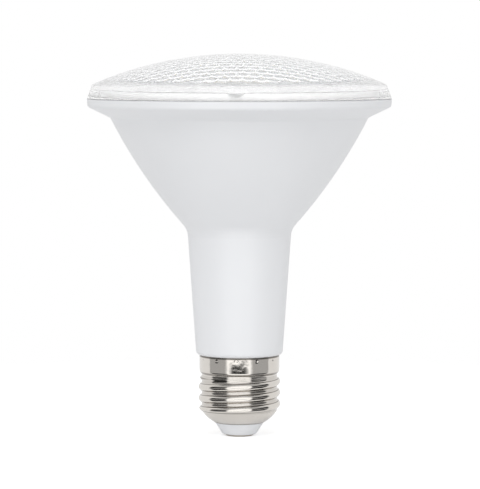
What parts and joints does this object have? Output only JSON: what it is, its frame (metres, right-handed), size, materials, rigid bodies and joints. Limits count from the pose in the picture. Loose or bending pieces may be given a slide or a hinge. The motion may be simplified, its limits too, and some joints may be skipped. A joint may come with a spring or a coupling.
{
  "type": "par spotlight bulb",
  "caption": "Reflector spotlight lamp with a clear domed lens, a white cone-shaped body on a long neck, and a screw cap that makes its electrical contact.",
  "frame": {"origin": "centre of the contact's lower face, at the tip of the screw cap", "axes": "+Z along the lamp's axis from the cap to the lens, -Y towards the side the picture shows"},
  "size_m": [0.097, 0.097, 0.122],
  "materials": {
    "lens_clear": "clear, polished outside, lenslets inside",
    "seal_silicone": "translucent white",
    "housing_white": "satin white moulding",
    "sink_aluminium": "die-cast, plain",
    "board_white": "white solder mask",
    "led_package": "yellow phosphor",
    "screw_steel": "zinc-plated",
    "driver_green": "green solder mask",
    "can_sleeve": "shrink sleeve",
    "ferrite": "sintered, dull",
    "winding_tape": "yellow tape",
    "choke_black": "dull sleeve",
    "film_red": "dipped",
    "chip_black": "moulded",
    "fuse_green": "coated",
    "wire_brown": "insulation",
    "wire_blue": "insulation",
    "wire_white": "insulation",
    "wire_grey": "insulation",
    "cap_nickel": "bright nickel plate",
    "insulator_white": "white moulding",
    "contact_metal": "nickel plate"
  },
  "bodies": {
    "root": {"lens": "lens_clear", "lens_seal": "seal_silicone", "housing": "housing_white", "heat_sink": "sink_aluminium", "led_board": "board_white", "leds": "led_package", "board_screws": "screw_steel", "driver_board": "driver_green", "input_capacitor": "can_sleeve", "output_capacitor": "can_sleeve", "transformer_core": "ferrite", "transformer_winding": "winding_tape", "filter_choke": "choke_black", "film_capacitor": "film_red", "bridge_rectifier": "chip_black", "driver_chip": "chip_black", "fuse_resistor": "fuse_green", "live_lead": "wire_brown", "neutral_lead": "wire_blue", "led_lead_positive": "wire_white", "led_lead_negative": "wire_grey", "screw_shell": "cap_nickel", "cap_insulator": "insulator_white", "centre_contact": "contact_metal"}
  },
  "joints": []
}
